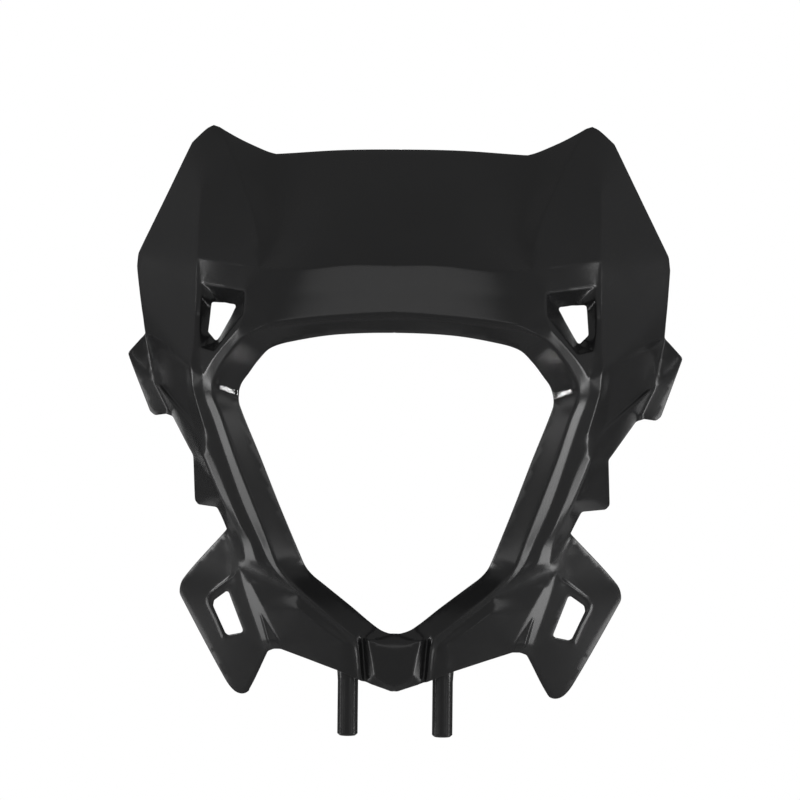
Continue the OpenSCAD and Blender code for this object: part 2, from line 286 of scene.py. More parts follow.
# ---------------------------------------------------------- the depth field
H = 0.4
NX = 370
X0, Z0, NZ = -NX * H, 6.0, 752
W = 2 * NX + 1
gx = X0 + H * np.arange(W)
gz = Z0 + H * np.arange(NZ)
field = np.full((NZ, W), np.nan)


def fill_triangle(a, b, c):
    x0 = max(int((min(a[0], b[0], c[0]) - X0) / H), 0)
    x1 = min(int((max(a[0], b[0], c[0]) - X0) / H) + 2, W)
    z0 = max(int((min(a[1], b[1], c[1]) - Z0) / H), 0)
    z1 = min(int((max(a[1], b[1], c[1]) - Z0) / H) + 2, NZ)
    det = turn(a, b, c)
    if abs(det) < 1e-9 or x1 <= x0 or z1 <= z0:
        return
    px, pz = np.meshgrid(gx[x0:x1], gz[z0:z1])
    wa = ((b[0] - px) * (c[1] - pz) - (b[1] - pz) * (c[0] - px)) / det
    wb = ((c[0] - px) * (a[1] - pz) - (c[1] - pz) * (a[0] - px)) / det
    wc = 1 - wa - wb
    ok = (wa > -1e-6) & (wb > -1e-6) & (wc > -1e-6)
    y = wa * a[2] + wb * b[2] + wc * c[2]
    field[z0:z1, x0:x1][ok] = y[ok]


for t in tris:
    fill_triangle(*t)
field[:, :NX] = field[:, :NX:-1]
mask = np.isfinite(field)


def nearest_distance(points, limit=30.0):
    """Distance on the grid to the nearest of the points, by passing seeds on."""
    sx = np.full((NZ, W), 1e6)
    sz = np.full((NZ, W), 1e6)
    p = np.asarray(points)[:, :2]
    p = np.concatenate([p, p * [-1, 1]])
    ix = np.clip(np.rint((p[:, 0] - X0) / H).astype(int), 0, W - 1)
    iz = np.clip(np.rint((p[:, 1] - Z0) / H).astype(int), 0, NZ - 1)
    sx[iz, ix] = p[:, 0]
    sz[iz, ix] = p[:, 1]
    px, pz = np.meshgrid(gx, gz)
    best = (px - sx) ** 2 + (pz - sz) ** 2
    for k in (64, 32, 16, 8, 4, 2, 1, 1):
        for dz in (-k, 0, k):
            for dx in (-k, 0, k):
                if not (dx or dz):
                    continue
                z_to = slice(max(dz, 0), NZ + min(dz, 0))
                z_fr = slice(max(-dz, 0), NZ + min(-dz, 0))
                x_to = slice(max(dx, 0), W + min(dx, 0))
                x_fr = slice(max(-dx, 0), W + min(-dx, 0))
                cx, cz = sx[z_fr, x_fr], sz[z_fr, x_fr]
                d = (px[z_to, x_to] - cx) ** 2 + (pz[z_to, x_to] - cz) ** 2
                hit = d < best[z_to, x_to]
                best[z_to, x_to][hit] = d[hit]
                sx[z_to, x_to][hit] = cx[hit]
                sz[z_to, x_to][hit] = cz[hit]
    return np.minimum(np.sqrt(best), limit)


CREASES = [L_in(), L_out(), L_groove(), L_foot(), L_face(), L_fold(),
           L_horn(), L_cheek(), L_rim(), L_floor(), L_bend(), L_fin(),
           L_fout(), L_scoop(), L_flo(), L_fli(), L_ccr(),
           chain(L_rim(5, 5), L_bend(0, 0)), chain(L_floor(5, 5), L_bend(0, 0)),
           chain(L_out(4, 4), L_scoop(1, 1)), chain(L_fold(4, 4), L_horn(4, 4))]
crease_pts = np.concatenate(CREASES)
crease_far = nearest_distance(crease_pts)
SHARP = 0.4
sigma = np.clip(0.40 * (crease_far - 0.8), SHARP, 6.5)
sigma = np.where(mask, sigma, np.maximum(sigma, 1.3))

LEVELS = (0.4, 0.65, 1.0, 1.5, 2.3, 3.5, 5.0, 6.5)


def smooth_levels(y, ok, sig):
    """Local straight-line fit of y, with a window that grows with sig."""
    px, pz = np.meshgrid(gx / 100.0, gz / 100.0 - 1.5)
    m = ok.astype(float)
    yy = np.where(ok, y, 0.0)
    fields = [m, m * px, m * pz, m * px * px, m * px * pz, m * pz * pz,
              yy, yy * px, yy * pz]
    pad_z, pad_x = NZ + 60, W + 60
    spec = [np.fft.rfft2(f, s=(pad_z, pad_x)) for f in fields]
    fz = np.fft.fftfreq(pad_z)[:, None]
    fx = np.fft.rfftfreq(pad_x)[None, :]
    stack = []
    for s in LEVELS:
        g = np.exp(-2 * (math.pi * s / H) ** 2 * (fx * fx + fz * fz))
        (s0, s1, s2, s11, s12, s22, t0, t1, t2) = [
            np.fft.irfft2(f * g, s=(pad_z, pad_x))[:NZ, :W] for f in spec]
        s0 = s0 + 1e-9
        mx, mz, my = s1 / s0, s2 / s0, t0 / s0
        cxx = s11 / s0 - mx * mx + 1e-10
        czz = s22 / s0 - mz * mz + 1e-10
        cxz = s12 / s0 - mx * mz
        cxy = t1 / s0 - mx * my
        czy = t2 / s0 - mz * my
        det = cxx * czz - cxz * cxz + 1e-16
        bx = (cxy * czz - czy * cxz) / det
        bz = (czy * cxx - cxy * cxz) / det
        stack.append(np.where(s0 > 2e-4, my + bx * (px - mx) + bz * (pz - mz),
                              np.nan))
    stack = np.array(stack)
    # a wider window where a narrow one sees nothing
    for k in range(len(LEVELS) - 2, -1, -1):
        stack[k] = np.where(np.isfinite(stack[k]), stack[k], stack[k + 1])
    q = np.interp(np.log(sig), np.log(LEVELS), np.arange(len(LEVELS)))
    k = np.clip(q.astype(int), 0, len(LEVELS) - 2)
    u = q - k
    rows, cols = np.mgrid[0:NZ, 0:W]
    return (1 - u) * stack[k, rows, cols] + u * stack[k + 1, rows, cols]


front = smooth_levels(field, mask, sigma)
front = 0.5 * (front + front[:, ::-1])
front = np.where(np.isfinite(front), front, 0.0)


def plain_distance(line):
    return nearest_distance(respaced(line, 0.3), 12.0)


def respaced(line, step):
    p = np.asarray(line, float)[:, :2]
    d = np.r_[0, np.cumsum(np.linalg.norm(np.diff(p, axis=0), axis=1))]
    s = np.linspace(0, d[-1], max(2, int(d[-1] / step)))
    return np.stack([np.interp(s, d, p[:, 0]), np.interp(s, d, p[:, 1])], 1)


def ease(t):
    t = np.clip(t, 0, 1)
    return t * t * (3 - 2 * t)


GX, GZ = np.meshgrid(gx, gz)
AX = np.abs(GX)

# ledge in the side wall of the opening: the wall swells out towards it from
# above and falls back on its underside
bar_top, bar_low = ((76.5, 168.6), (86.6, 171.8)), ((76.0, 165.6), (87.2, 169.1))
lean = (bar_low[1][1] - bar_low[0][1]) / (bar_low[1][0] - bar_low[0][0])
over_low = GZ - (bar_low[0][1] + lean * (AX - bar_low[0][0]))
from_ridge = nearest_distance(respaced(L_in(), 0.3), 12.0)
inner_wall = (AX < 88.5) & (AX > 40) & (GZ > 160) & (GZ < 192)
left_of_ridge = AX < np.interp(GZ, L_in(4, 12)[::-1, 1], L_in(4, 12)[::-1, 0])
swell = np.where(over_low < 2.9, np.clip(over_low / 2.9, 0, 1), 1 - ease((over_low - 2.9) / 14.0))
swell = swell * ease((from_ridge - 0.9) / 2.4) * ease((192 - GZ) / 9.0)
front -= np.where(inner_wall & left_of_ridge, 1.5 * swell, 0)

# raised flat triangle at the foot of the flare
peak, foot_in, foot_out = (68.4, 61.0), (57.8, 45.0), (63.8, 44.0)


def beside(a, b):
    """Signed distance from the line a to b, positive on its right side."""
    ln = math.dist(a, b)
    return ((GX_ABS - a[0]) * (b[1] - a[1]) - (GZ - a[1]) * (b[0] - a[0])) / ln


GX_ABS = AX
from_left, from_right = -beside(peak, foot_in), beside(peak, foot_out)
flat = np.clip(from_left, 0, 8) * np.clip(from_right / 0.8, 0, 1) * ease((GZ - 43.5) / 1.2)
front -= np.where((GZ > 43) & (GZ < 62), 0.6 * flat, 0)

# raised bead round the outer side of the strap slot
slot_bead = [(80.6, 77.2), (88.5, 71.2), (93.2, 67.6), (95.3, 64.3), (94.6, 61.5),
             (90.7, 54.2), (87.4, 46.2)]
bead_far = nearest_distance(respaced(slot_bead, 0.3), 12.0)
front -= 0.5 * ease(1 - bead_far / 1.15)


def sample(g, x, z):
    u = np.clip((x - X0) / H, 0, W - 1.001)
    v = np.clip((z - Z0) / H, 0, NZ - 1.001)
    i, j = u.astype(int), v.astype(int)
    a, b = u - i, v - j
    return ((1 - a) * (1 - b) * g[j, i] + a * (1 - b) * g[j, i + 1]
            + (1 - a) * b * g[j + 1, i] + a * b * g[j + 1, i + 1])


# ---------------------------------------------------- outline and hole loops
def fillet(loop, radii, step=0.35):
    """Rounds marked corners of a closed x-z loop of points."""
    n = len(loop)
    out = []
    for i in range(n):
        p = np.array(loop[i][:2], float)
        r = radii.get(i, 0)
        if r <= 0:
            out.append(p)
            continue
        a = np.array(loop[i - 1][:2], float) - p
        b = np.array(loop[(i + 1) % n][:2], float) - p
        la, lb = np.linalg.norm(a), np.linalg.norm(b)
        a, b = a / la, b / lb
        half = 0.5 * math.acos(max(-1, min(1, float(a @ b))))
        t = min(r / math.tan(half), 0.48 * la, 0.48 * lb)
        rr = t * math.tan(half)
        c = p + (a + b) / np.linalg.norm(a + b) * rr / math.sin(half)
        s, e = p + a * t - c, p + b * t - c
        sweep = math.atan2(s[0] * e[1] - s[1] * e[0], float(s @ e))
        m = max(2, int(abs(sweep) * rr / step) + 1)
        for k in range(m + 1):
            w = sweep * k / m
            out.append(c + [s[0] * math.cos(w) - s[1] * math.sin(w),
                            s[0] * math.sin(w) + s[1] * math.cos(w)])
    return np.array(out)


def marks(*parts):
    """Joins lines to one loop of x-z points; numbers are corner radii."""
    pts, radii = [], {}
    for part in parts:
        if isinstance(part, (int, float)):
            radii[len(pts) - 1] = part
            continue
        for v in np.atleast_2d(np.array(part, float)):
            if pts and np.linalg.norm(v[:2] - pts[-1]) < 1e-6:
                continue
            pts.append(np.array(v[:2], float))
    if np.linalg.norm(pts[0] - pts[-1]) < 1e-6:
        pts.pop()
    return pts, radii


def respace(loop, step, closed=True):
    """Even points along a loop, with its sharp corners kept."""
    p = np.array(loop)
    n = len(p)
    keep = []
    for i in range(n):
        if not closed and i in (0, n - 1):
            keep.append(i)
            continue
        a, b = p[i] - p[i - 1], p[(i + 1) % n] - p[i]
        c = (a @ b) / (np.linalg.norm(a) * np.linalg.norm(b) + 1e-12)
        if c < math.cos(math.radians(24)):
            keep.append(i)
    if not keep:
        keep = [0]
    out = []
    m = len(keep)
    for k in range(m if closed else m - 1):
        i, j = keep[k], keep[(k + 1) % m]
        idx = list(range(i, j + 1)) if j > i else list(range(i, n)) + list(range(0, j + 1))
        q = p[idx]
        d = np.r_[0, np.cumsum(np.linalg.norm(np.diff(q, axis=0), axis=1))]
        c = max(1, int(round(d[-1] / step)))
        s = np.linspace(0, d[-1], c + 1)[:-1]
        out.append(np.stack([np.interp(s, d, q[:, 0]), np.interp(s, d, q[:, 1])], 1))
    if not closed:
        out.append(p[-1:])
    return np.concatenate(out)


out_marks = marks(
    L_top(), pt(top_edge[2]), 1.5, L_brow(),
    pt(horn[0]), 3.0, L_tip(0, 2), 2.5,
    pt(cheek_edge[0]), 0, pt(cheek_edge[1]), 5, pt(cheek_edge[2]), 4,
    pt(cheek_edge[3]), 0, pt(sunk_rim[0]), 2, pt(sunk_floor[0]), 1.2,
    pt(fork_tab[0]), 2.0, pt(fork_tab[1]), 2.5, pt(fork_tab[2]), 2,
    pt(fork_tab[3]), 0, pt(tab_low[0]), 2.5, pt(tab_low[1]), 2.5,
    pt(small_tab[0]), 1.5, pt(small_tab[1]), 1.5, pt(small_tab[2]), 1.5,
    L_ear(0, 0), 2.0, L_ear(), 2.0,
    pt(notch[0]), 1.5, pt(notch[1]), 1.5,
    pt(chin_edge[0]), 3, pt(chin_edge[1]), 3, pt(bezel_out[20]), 1.0,
    pt(bezel_in[19]), 0.6, pt(groove[2]), 0.6, pt(lip_foot[2]), 1.0,
    pt(lip_foot[3]), 1.5, pt(lip_foot[4]), 0)
outline = fillet(*out_marks)
low_mid = np.array([0.0, outline[-1][1]])
# one closed loop of the half: outline, up the middle, the opening, up again
half_path = np.concatenate([outline, L_open(18, 0)[:, :2]])
hole_window = fillet(*marks(pt(window[0]), 1.2, pt(window[1]), 4, pt(window[2]), 1.2,
                            pt(window[3]), 1.5, pt(window[4]), 4, pt(window[5]), 1.2,
                            pt(window[6]), 3))
hole_slot = fillet(*marks(pt(slot[0]), 1.3, pt(slot[1]), 0.8, pt(slot[2]), 1.2,
                          pt(slot[3]), 1.0, pt(slot[4]), 0.8, pt(slot[5]), 1.6,
                          pt(slot[6]), 3))

STEP = 1.0
edge_outer = respace(outline, STEP, closed=False)
edge_open = respace(L_open(18, 0)[:, :2], STEP, closed=False)
edge_window = respace(hole_window, 0.8)
edge_slot = respace(hole_slot, 0.8)


def mid_run(z0, z1, step):
    m = max(1, int(round(abs(z1 - z0) / step)))
    return np.stack([np.zeros(m + 1), np.linspace(z0, z1, m + 1)], 1)


mid_low = mid_run(edge_outer[-1][1], edge_open[0][1], 1.2)
mid_top = mid_run(edge_open[-1][1], edge_outer[0][1], 1.2)
ring = np.concatenate([edge_outer[:-1], mid_low[:-1], edge_open[:-1], mid_top[:-1]])


def inside(loop, q):
    """Even-odd test of points q against a closed loop."""
    q = np.asarray(q)
    hit = np.zeros(len(q), bool)
    a, b = loop, np.roll(loop, -1, axis=0)
    for s in range(0, len(q), 4000):
        x, z = q[s:s + 4000, 0][:, None], q[s:s + 4000, 1][:, None]
        span = (a[:, 1] > z) != (b[:, 1] > z)
        dz = np.where(b[:, 1] == a[:, 1], 1e-12, b[:, 1] - a[:, 1])
        cross = x < (b[:, 0] - a[:, 0]) * (z - a[:, 1]) / dz + a[:, 0]
        hit[s:s + 4000] = (np.sum(span & cross, axis=1) % 2) == 1
    return hit


def in_domain(q):
    return inside(ring, q) & ~inside(edge_window, q) & ~inside(edge_slot, q)


def tree_of(points):
    t = KDTree(len(points))
    for i, q in enumerate(points):
        t.insert((float(q[0]), float(q[1]), 0.0), i)
    t.balance()
    return t


def dist_to(tree, q):
    return np.array([tree.find((float(v[0]), float(v[1]), 0.0))[2] for v in q])


def fine(line, step=0.3):
    return respace(np.asarray(line)[:, :2], step, closed=False)


def loop_fine(loop, step=0.3):
    return respace(np.concatenate([loop, loop[:1]]), step, closed=False)


# free edges only: the middle line isn't an edge of the part
seg_a, seg_b, seg_n = [], [], []
for loop, closed in ((edge_outer, False), (edge_open, False),
                     (edge_window, True), (edge_slot, True)):
    p = np.concatenate([loop, loop[:1]]) if closed else loop
    a, b = p[:-1], p[1:]
    d = b - a
    n = np.stack([d[:, 1], -d[:, 0]], 1) / np.linalg.norm(d, axis=1, keepdims=True)
    probe = (a + b) / 2 + n * 0.05
    n[in_domain(probe)] *= -1
    for q, arr in ((a, seg_a), (b, seg_b), (n, seg_n)):
        arr.append(q)
        arr.append(q * [-1, 1])
seg_a, seg_b, seg_n = map(np.concatenate, (seg_a, seg_b, seg_n))
seg_mid = (seg_a + seg_b) / 2
seg_tree = tree_of(seg_mid)


def edge_info(q):
    """Distance to the nearest free edge, and that edge's outward normal."""
    dist, nor = np.zeros(len(q)), np.zeros((len(q), 2))
    for i, v in enumerate(q):
        best, bn, tot = 1e9, None, None
        for _, k, _ in seg_tree.find_n((float(v[0]), float(v[1]), 0.0), 4):
            a, d = seg_a[k], seg_b[k] - seg_a[k]
            u = min(1.0, max(0.0, ((v[0] - a[0]) * d[0] + (v[1] - a[1]) * d[1])
                             / (d[0] * d[0] + d[1] * d[1])))
            r = math.hypot(v[0] - a[0] - u * d[0], v[1] - a[1] - u * d[1])
            if r < best - 1e-7:
                best, bn = r, seg_n[k].copy()
            elif r < best + 1e-7:
                bn = bn + seg_n[k]
        dist[i] = best
        nor[i] = bn / (math.hypot(bn[0], bn[1]) + 1e-12)
    return dist, nor


def edge_dist(q):
    return edge_info(q)[0]


RIM = 0.5
ROWS = (0.15 * RIM, 0.42 * RIM, RIM)


def offset_rows(line, offsets, closed):
    """Rows of points beside a line, on both sides."""
    p = np.asarray(line)[:, :2]
    if closed:
        d = np.roll(p, -1, axis=0) - np.roll(p, 1, axis=0)
    else:
        d = np.gradient(p, axis=0)
    ln = np.linalg.norm(d, axis=1, keepdims=True) + 1e-12
    nrm = np.stack([-d[:, 1], d[:, 0]], 1) / ln
    return [p + nrm * o for o in offsets]


cand = []          # (points, spacing that they must keep)
boundary = np.concatenate([ring, edge_window, edge_slot])
nb = len(boundary)
for loop, closed in ((edge_outer, False), (edge_open, False),
                     (edge_window, True), (edge_slot, True)):
    for o in ROWS:
        for q in offset_rows(loop, (o, -o), closed):
            cand.append((q, o, 0.32))

crease_rows = []
crease_paths = []
LINES = [np.asarray(c)[:, :2] for c in CREASES] + [
    np.array(slot_bead), np.array(bar_top), np.array(bar_low),
    np.array([peak, foot_in]), np.array([peak, foot_out])]
for line in LINES:
    crease_paths.append(respace(line, STEP, closed=False))
crease_fine = np.concatenate([fine(c) for c in LINES])
crease_tree = tree_of(crease_fine)

points = [boundary]
for q, o, gap in cand:
    q = q[(q[:, 0] > 0.25)]
    q = q[in_domain(q)]
    d = edge_dist(q)
    points.append(q[np.abs(d - o) < 0.06 + 0.02 * o])
rim_pts = np.concatenate(points)


def thin_out(pts, base, gap):
    """Keeps points that stay gap apart from the base and from each other."""
    cell = {}

    def key(v):
        return int(math.floor(v[0] / gap)), int(math.floor(v[1] / gap))

    def clash(v):
        kx, kz = key(v)
        for a in (kx - 1, kx, kx + 1):
            for b in (kz - 1, kz, kz + 1):
                for w in cell.get((a, b), ()):
                    if (v[0] - w[0]) ** 2 + (v[1] - w[1]) ** 2 < gap * gap:
                        return True
        return False

    for v in base:
        cell.setdefault(key(v), []).append(v)
    out = []
    for v in pts:
        if not clash(v):
            cell.setdefault(key(v), []).append(v)
            out.append(v)
    return np.array(out).reshape(-1, 2)


all_pts = rim_pts
for k, o in enumerate((0.0, 0.45, 1.0, 1.8)):
    rows = []
    for q in crease_paths:
        if o == 0:
            rows.append(q)
        else:
            rows += offset_rows(q, (o, -o), False)
    q = np.concatenate(rows)
    q = q[q[:, 0] > 0.3]
    q = q[in_domain(q)]
    q = q[edge_dist(q) > 0.45]
    if o > 0:
        q = q[dist_to(crease_tree, q) > 0.86 * o]
    all_pts = np.concatenate([all_pts, thin_out(q, all_pts, (0.35, 0.4, 0.5, 0.7)[k])])

FILL = 2.2
hx = np.arange(FILL * 0.5, 148, FILL)
hz = np.arange(8, 304, FILL * math.sqrt(3) / 2)
grid = np.array([[x + (0.5 * FILL if k % 2 else 0.0), z]
                 for k, z in enumerate(hz) for x in hx])
grid = grid[in_domain(grid)]
near = np.concatenate([dist_to(tree_of(all_pts), grid)[:, None]], 1)[:, 0]
grid = grid[near > 0.52 * FILL]
all_pts = np.concatenate([all_pts, grid])


def loop_edges(start, n):
    return [(start + i, start + (i + 1) % n) for i in range(n)]


edges = (loop_edges(0, len(ring)) + loop_edges(len(ring), len(edge_window))
         + loop_edges(len(ring) + len(edge_window), len(edge_slot)))
res = delaunay_2d_cdt([Vector((float(a), float(b))) for a, b in all_pts],
                      edges, [], 0, 1e-5)
vert2 = np.array([[v[0], v[1]] for v in res[0]])
face2 = np.array([list(f) for f in res[2]])
mid = vert2[face2].mean(axis=1)
face2 = face2[in_domain(mid)]
used = np.unique(face2)
renum = -np.ones(len(vert2), int)
renum[used] = np.arange(len(used))
vert2, face2 = vert2[used], renum[face2]
area = ((vert2[face2[:, 1], 0] - vert2[face2[:, 0], 0])
        * (vert2[face2[:, 2], 1] - vert2[face2[:, 0], 1])
        - (vert2[face2[:, 1], 1] - vert2[face2[:, 0], 1])
        * (vert2[face2[:, 2], 0] - vert2[face2[:, 0], 0]))
face2[area < 0] = face2[area < 0][:, ::-1]

# ------------------------------------------------------- front and back skin
WALL = 2.6


def gradient(g, x, z, e=0.45):
    return ((sample(g, x + e, z) - sample(g, x - e, z)) / (2 * e),
            (sample(g, x, z + e) - sample(g, x, z - e)) / (2 * e))


def outward(g, x, z, e=0.45):
    fx, fz = gradient(g, x, z, e)
    n = np.stack([fx, -np.ones_like(fx), fz], 1)
    return n / np.linalg.norm(n, axis=1, keepdims=True)


vx, vz = vert2[:, 0], vert2[:, 1]
dist_edge, nu = edge_info(vert2)
dist_edge[dist_edge < 0.01] = 0
vy = sample(front, vx, vz)
soft = smooth_levels(field, mask, np.maximum(sigma, 1.3))
soft = 0.5 * (soft + soft[:, ::-1])
soft = np.where(np.isfinite(soft), soft, -1e3)
nrm = outward(soft, vx, vz, 0.8)
drop = RIM - np.sqrt(np.maximum(RIM ** 2 - np.maximum(RIM - dist_edge, 0) ** 2, 0))
P_front = np.stack([vx, vy, vz], 1) - nrm * drop[:, None]
# the rounding would pull a sloped rim in, so the rim is let out by as much
tilt = np.maximum(np.sum(nrm[:, [0, 2]] * nu, axis=1), 0)
let_out = RIM * (np.sqrt(1 - tilt ** 2) + tilt - 1)
let_out = (let_out * np.clip(1 - dist_edge / 3.0, 0, 1))[:, None] * nu
P_front[:, [0, 2]] += let_out
P_front[:, 1] += np.sum(let_out * -nrm[:, [0, 2]], axis=1) / np.minimum(nrm[:, 1], -0.25)

# the back keeps the wall thickness: a ball rolled behind the front
reach = int(WALL / H)
back = np.full_like(front, -1e6)
for dz in range(-reach, reach + 1):
    for dx in range(-reach, reach + 1):
        r2 = (dx * dx + dz * dz) * H * H
        if r2 > WALL * WALL:
            continue
        back = np.maximum(back, np.roll(soft, (dz, dx), (0, 1)) + math.sqrt(WALL ** 2 - r2))
nback = outward(soft, vx, vz, 0.8)
near_rim = np.clip(1 - dist_edge / 7.0, 0, 1) ** 1.5
shift = -WALL * nback[:, [0, 2]] * near_rim[:, None]
# a wall that leans out over its edge stays straight behind it
over = np.maximum(np.sum(shift * nu, axis=1), 0)
shift -= over[:, None] * nu
shift += let_out
bx, bz = vx + shift[:, 0], vz + shift[:, 1]
on_mid = vx < 1e-4
bx[on_mid] = 0
by_exact = vy - WALL * nback[:, 1]
by_field = sample(back, bx, bz)
at_rim = (dist_edge < 1e-6)
blend = np.clip(1 - dist_edge / 1.5, 0, 1)
by = by_field * (1 - blend) + (sample(soft, vx, vz) - WALL * nback[:, 1]) * blend
RB = 0.5
drop_b = RB - np.sqrt(np.maximum(RB ** 2 - np.maximum(RB - dist_edge, 0) ** 2, 0))
P_back = np.stack([bx, by, bz], 1) + nback * drop_b[:, None]
P_front[on_mid, 0] = 0
P_back[on_mid, 0] = 0


def make_shell():
    n = len(vert2)
    half = np.concatenate([P_front, P_back])
    faces = [tuple(f) for f in face2]
    # seen from the front, a face turned to -y runs clockwise in x-z order
    quads = []
    count = {}
    for f in face2:
        for a, b in ((f[0], f[1]), (f[1], f[2]), (f[2], f[0])):
            count[(a, b)] = count.get((a, b), 0) + 1
    for (a, b) in count:
        if (b, a) not in count:
            if on_mid[a] and on_mid[b] and not (at_rim[a] and at_rim[b] and False):
                continue
            quads.append((a, b))
    f_all = [tuple(int(v) for v in f) for f in face2]
    f_back = [(int(f[2]) + n, int(f[1]) + n, int(f[0]) + n) for f in face2]
    f_rim = [(int(b), int(a), int(a) + n, int(b) + n) for a, b in quads]
    half_faces = f_all + f_back + f_rim
    # mirror, with the middle line shared
    m = len(half)
    mid_all = np.concatenate([on_mid, on_mid])
    other = np.arange(m) + m
    other[mid_all] = np.arange(m)[mid_all]
    full = np.concatenate([half, half * [-1, 1, 1]])
    faces = half_faces + [tuple(int(other[v]) for v in reversed(f)) for f in half_faces]
    keep = np.unique(np.concatenate([np.array(f) for f in faces]))
    new = -np.ones(2 * m, int)
    new[keep] = np.arange(len(keep))
    mesh = bpy.data.meshes.new("cowl_shell")
    mesh.from_pydata((full[keep] * 0.001).tolist(), [],
                     [tuple(int(new[v]) for v in f) for f in faces])
    mesh.validate()
    mesh.update()
    return mesh


shell_mesh = make_shell()
shell = bpy.data.objects.new("cowl_shell", shell_mesh)
bpy.context.scene.collection.objects.link(shell)
for p in shell_mesh.polygons:
    p.use_smooth = True


# -------------------------------------------------- pegs, webs, screw bosses
def lathe(name, profile, centre, axis="z", sides=72, foot=None):
    """Turns a closed half profile of (radius, along) about an axis."""
    verts, faces = [], []
    n = len(profile)
    for k in range(sides):
        w = 2 * math.pi * k / sides
        for r, t in profile:
            u, v = r * math.cos(w), r * math.sin(w)
            if axis == "z":
                q = (centre[0] + u, centre[1] + v, centre[2] + t)
            else:
                q = (centre[0] + u, centre[1] + t, centre[2] - v)
                if foot and t < -900:
                    q = (q[0], foot(q[0], q[2]), q[2])
            verts.append([c * 0.001 for c in q])
    for k in range(sides):
        k2 = (k + 1) % sides
        for i in range(n - 1):
            faces.append((k * n + i, k2 * n + i, k2 * n + i + 1, k * n + i + 1))
    import bmesh
    bm = bmesh.new()
    bv = [bm.verts.new(v) for v in verts]
    for f in faces:
        bm.faces.new([bv[i] for i in f])
    bmesh.ops.remove_doubles(bm, verts=bm.verts, dist=1e-7)
    bmesh.ops.recalc_face_normals(bm, faces=bm.faces)
    mesh = bpy.data.meshes.new(name)
    bm.to_mesh(mesh)
    bm.free()
    for p in mesh.polygons:
        p.use_smooth = True
    ob = bpy.data.objects.new(name, mesh)
    bpy.context.scene.collection.objects.link(ob)
    return ob


def arc(cr, ct, r, a0, a1, n=5):
    return [(cr + r * math.cos(math.radians(a0 + (a1 - a0) * k / n)),
             ct + r * math.sin(math.radians(a0 + (a1 - a0) * k / n)))
            for k in range(n + 1)]


parts = [shell]
PEG = ([(0.0, 0.0), (3.4, 0.0)] + arc(3.7, 0.45, 0.45, -90, -45, 3)
       + arc(4.65, 1.15, 0.35, -45, 0, 3)
       + [(5.0, 1.6), (5.0, 27.0), (5.4, 32.6)]
       + arc(5.6, 34.3, 0.4, -45, 0, 3) + [(6.0, 41.4)]
       + arc(5.5, 41.4, 0.5, 0, 90, 3) + [(0.0, 41.9)])
for side in (-1, 1):
    parts.append(lathe("peg_r" if side > 0 else "peg_l", PEG, (side * 23.25, 0, 0)))


def in_wall(x, z):
    """Depth in the middle of the wall behind a point."""
    q = np.array([[x, z]], float)
    return float(sample(back, q[:, 0], q[:, 1])[0]) - 1.3


# bosses for the lamp screws, with blind holes open to the back
BOSS = ([(0.0, -999.0), (4.2, -999.0)] + [(4.2, -4.6)] + arc(3.8, -4.4, 0.4, 0, 90, 3)
        + [(2.2, -4.0), (1.7, -4.4), (1.7, -11.2), (0.0, -12.0)])
for side in (-1, 1):
    for k, high in enumerate((186.0, 128.0)):
        parts.append(lathe("lamp_boss_%s%d" % ("r" if side > 0 else "l", k + 1), BOSS,
                           (side * 76.0, 0, high), "y", 48, in_wall))


def web(name, x):
    """Plate that ties a peg to the back of the chin."""
    side_on = [(-5, 35), (-6.5, 37), (-8.2, 41), (-7.8, 45.5), (-0.6, 49.7), (0, 49.2), (0, 35)]
    n = len(side_on)
    verts = [((x + w) * 0.001, (y + (0.3 if abs(w) > 1.8 and y < -1 else 0)) * 0.001, z * 0.001)
             for w in (-2, -1.6, 1.6, 2) for y, z in side_on]
    faces = [tuple(range(n - 1, -1, -1)), tuple(range(3 * n, 4 * n))]
    for r in range(3):
        for i in range(n):
            j = (i + 1) % n
            faces.append((r * n + i, r * n + j, (r + 1) * n + j, (r + 1) * n + i))
    import bmesh
    mesh = bpy.data.meshes.new(name)
    mesh.from_pydata(verts, [], faces)
    bm = bmesh.new()
    bm.from_mesh(mesh)
    bmesh.ops.recalc_face_normals(bm, faces=bm.faces)
    bm.to_mesh(mesh)
    bm.free()
    ob = bpy.data.objects.new(name, mesh)
    bpy.context.scene.collection.objects.link(ob)
    return ob


for side in (-1, 1):
    parts.append(web("peg_web_r" if side > 0 else "peg_web_l", side * 23.25))

